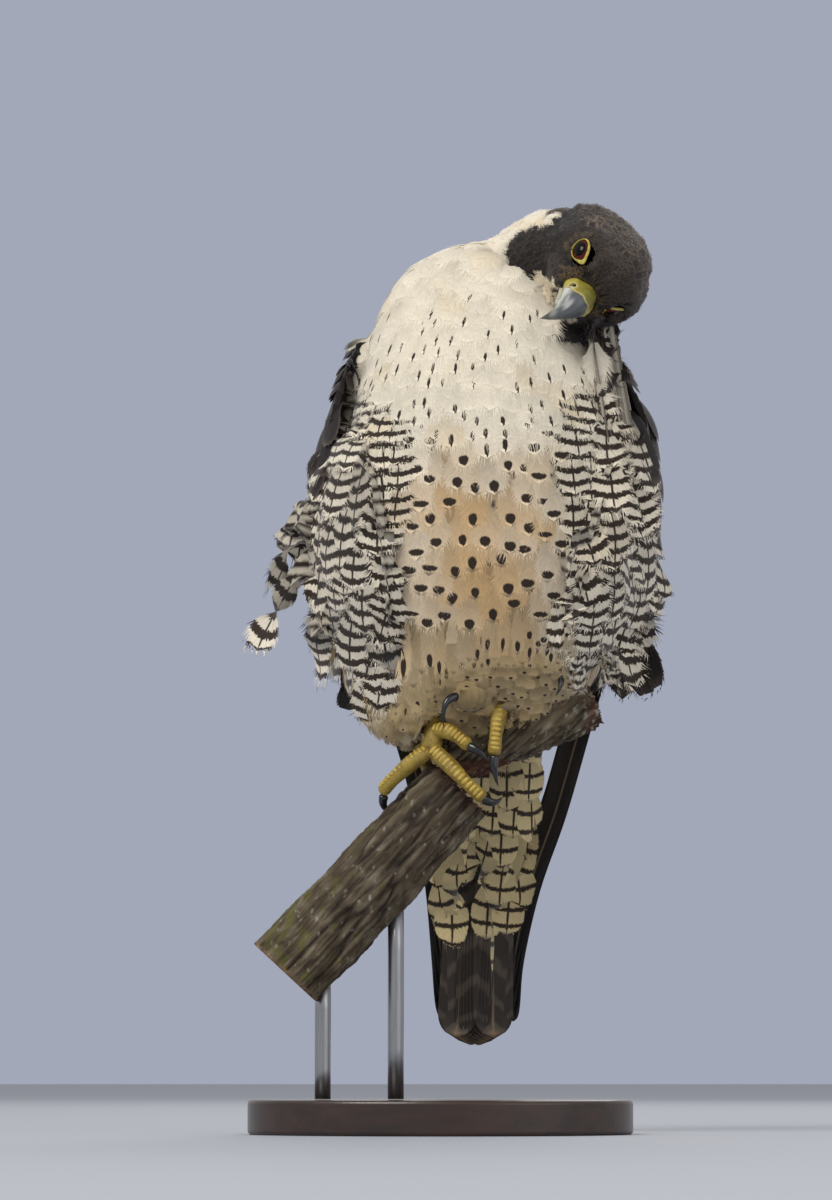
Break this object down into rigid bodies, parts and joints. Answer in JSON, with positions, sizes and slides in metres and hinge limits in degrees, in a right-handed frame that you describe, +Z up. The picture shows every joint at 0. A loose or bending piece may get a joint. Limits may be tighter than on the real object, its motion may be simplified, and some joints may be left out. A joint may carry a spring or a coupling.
{
  "type": "peregrine falcon",
  "caption": "Life-size still peregrine falcon, puffed up and head tilted, gripping a cut length of dead branch that a plain display stand holds.",
  "frame": {"origin": "centre of the stand base's underside", "axes": "+X the falcon's left (right in the picture), -Y the way the falcon faces, +Z up"},
  "size_m": [0.2102, 0.176, 0.4609],
  "materials": {
    "eye": "glossy",
    "cere": "waxy skin",
    "bill": "smooth horn",
    "head_feathers": "small scaly feathers",
    "claw": "smooth horn",
    "foot_skin": "scaly skin",
    "breast_feathers": "soft feathers",
    "tail_feathers": "smooth vanes",
    "wing_feathers": "smooth vanes",
    "barred_feathers": "loose barred feathers",
    "perch_wood": "weathered",
    "stand_steel": "brushed",
    "stand_wood": "stained and varnished"
  },
  "bodies": {
    "root": {"eye_right": "eye", "eye_left": "eye", "cere": "cere", "bill_upper": "bill", "bill_lower": "bill", "head": "head_feathers", "claw_right_outer": "claw", "claw_right_middle": "claw", "claw_right_inner": "claw", "claw_right_hind": "claw", "claw_left_outer": "claw", "claw_left_middle": "claw", "claw_left_inner": "claw", "claw_left_hind": "claw", "toe_right_outer": "foot_skin", "toe_right_middle": "foot_skin", "toe_right_inner": "foot_skin", "toe_right_hind": "foot_skin", "toe_left_outer": "foot_skin", "toe_left_middle": "foot_skin", "toe_left_inner": "foot_skin", "toe_left_hind": "foot_skin", "tarsus_right": "foot_skin", "tarsus_left": "foot_skin", "trunk": "breast_feathers", "neck": "breast_feathers", "tail": "tail_feathers", "wing_right": "wing_feathers", "wing_left": "wing_feathers", "primaries_right": "wing_feathers", "primaries_left": "wing_feathers", "undertail_coverts": "barred_feathers", "flank_right": "barred_feathers", "flank_left": "barred_feathers", "thigh_right": "barred_feathers", "thigh_left": "barred_feathers", "perch": "perch_wood", "stand_rod_1": "stand_steel", "stand_rod_2": "stand_steel", "stand_base": "stand_wood"}
  },
  "joints": []
}
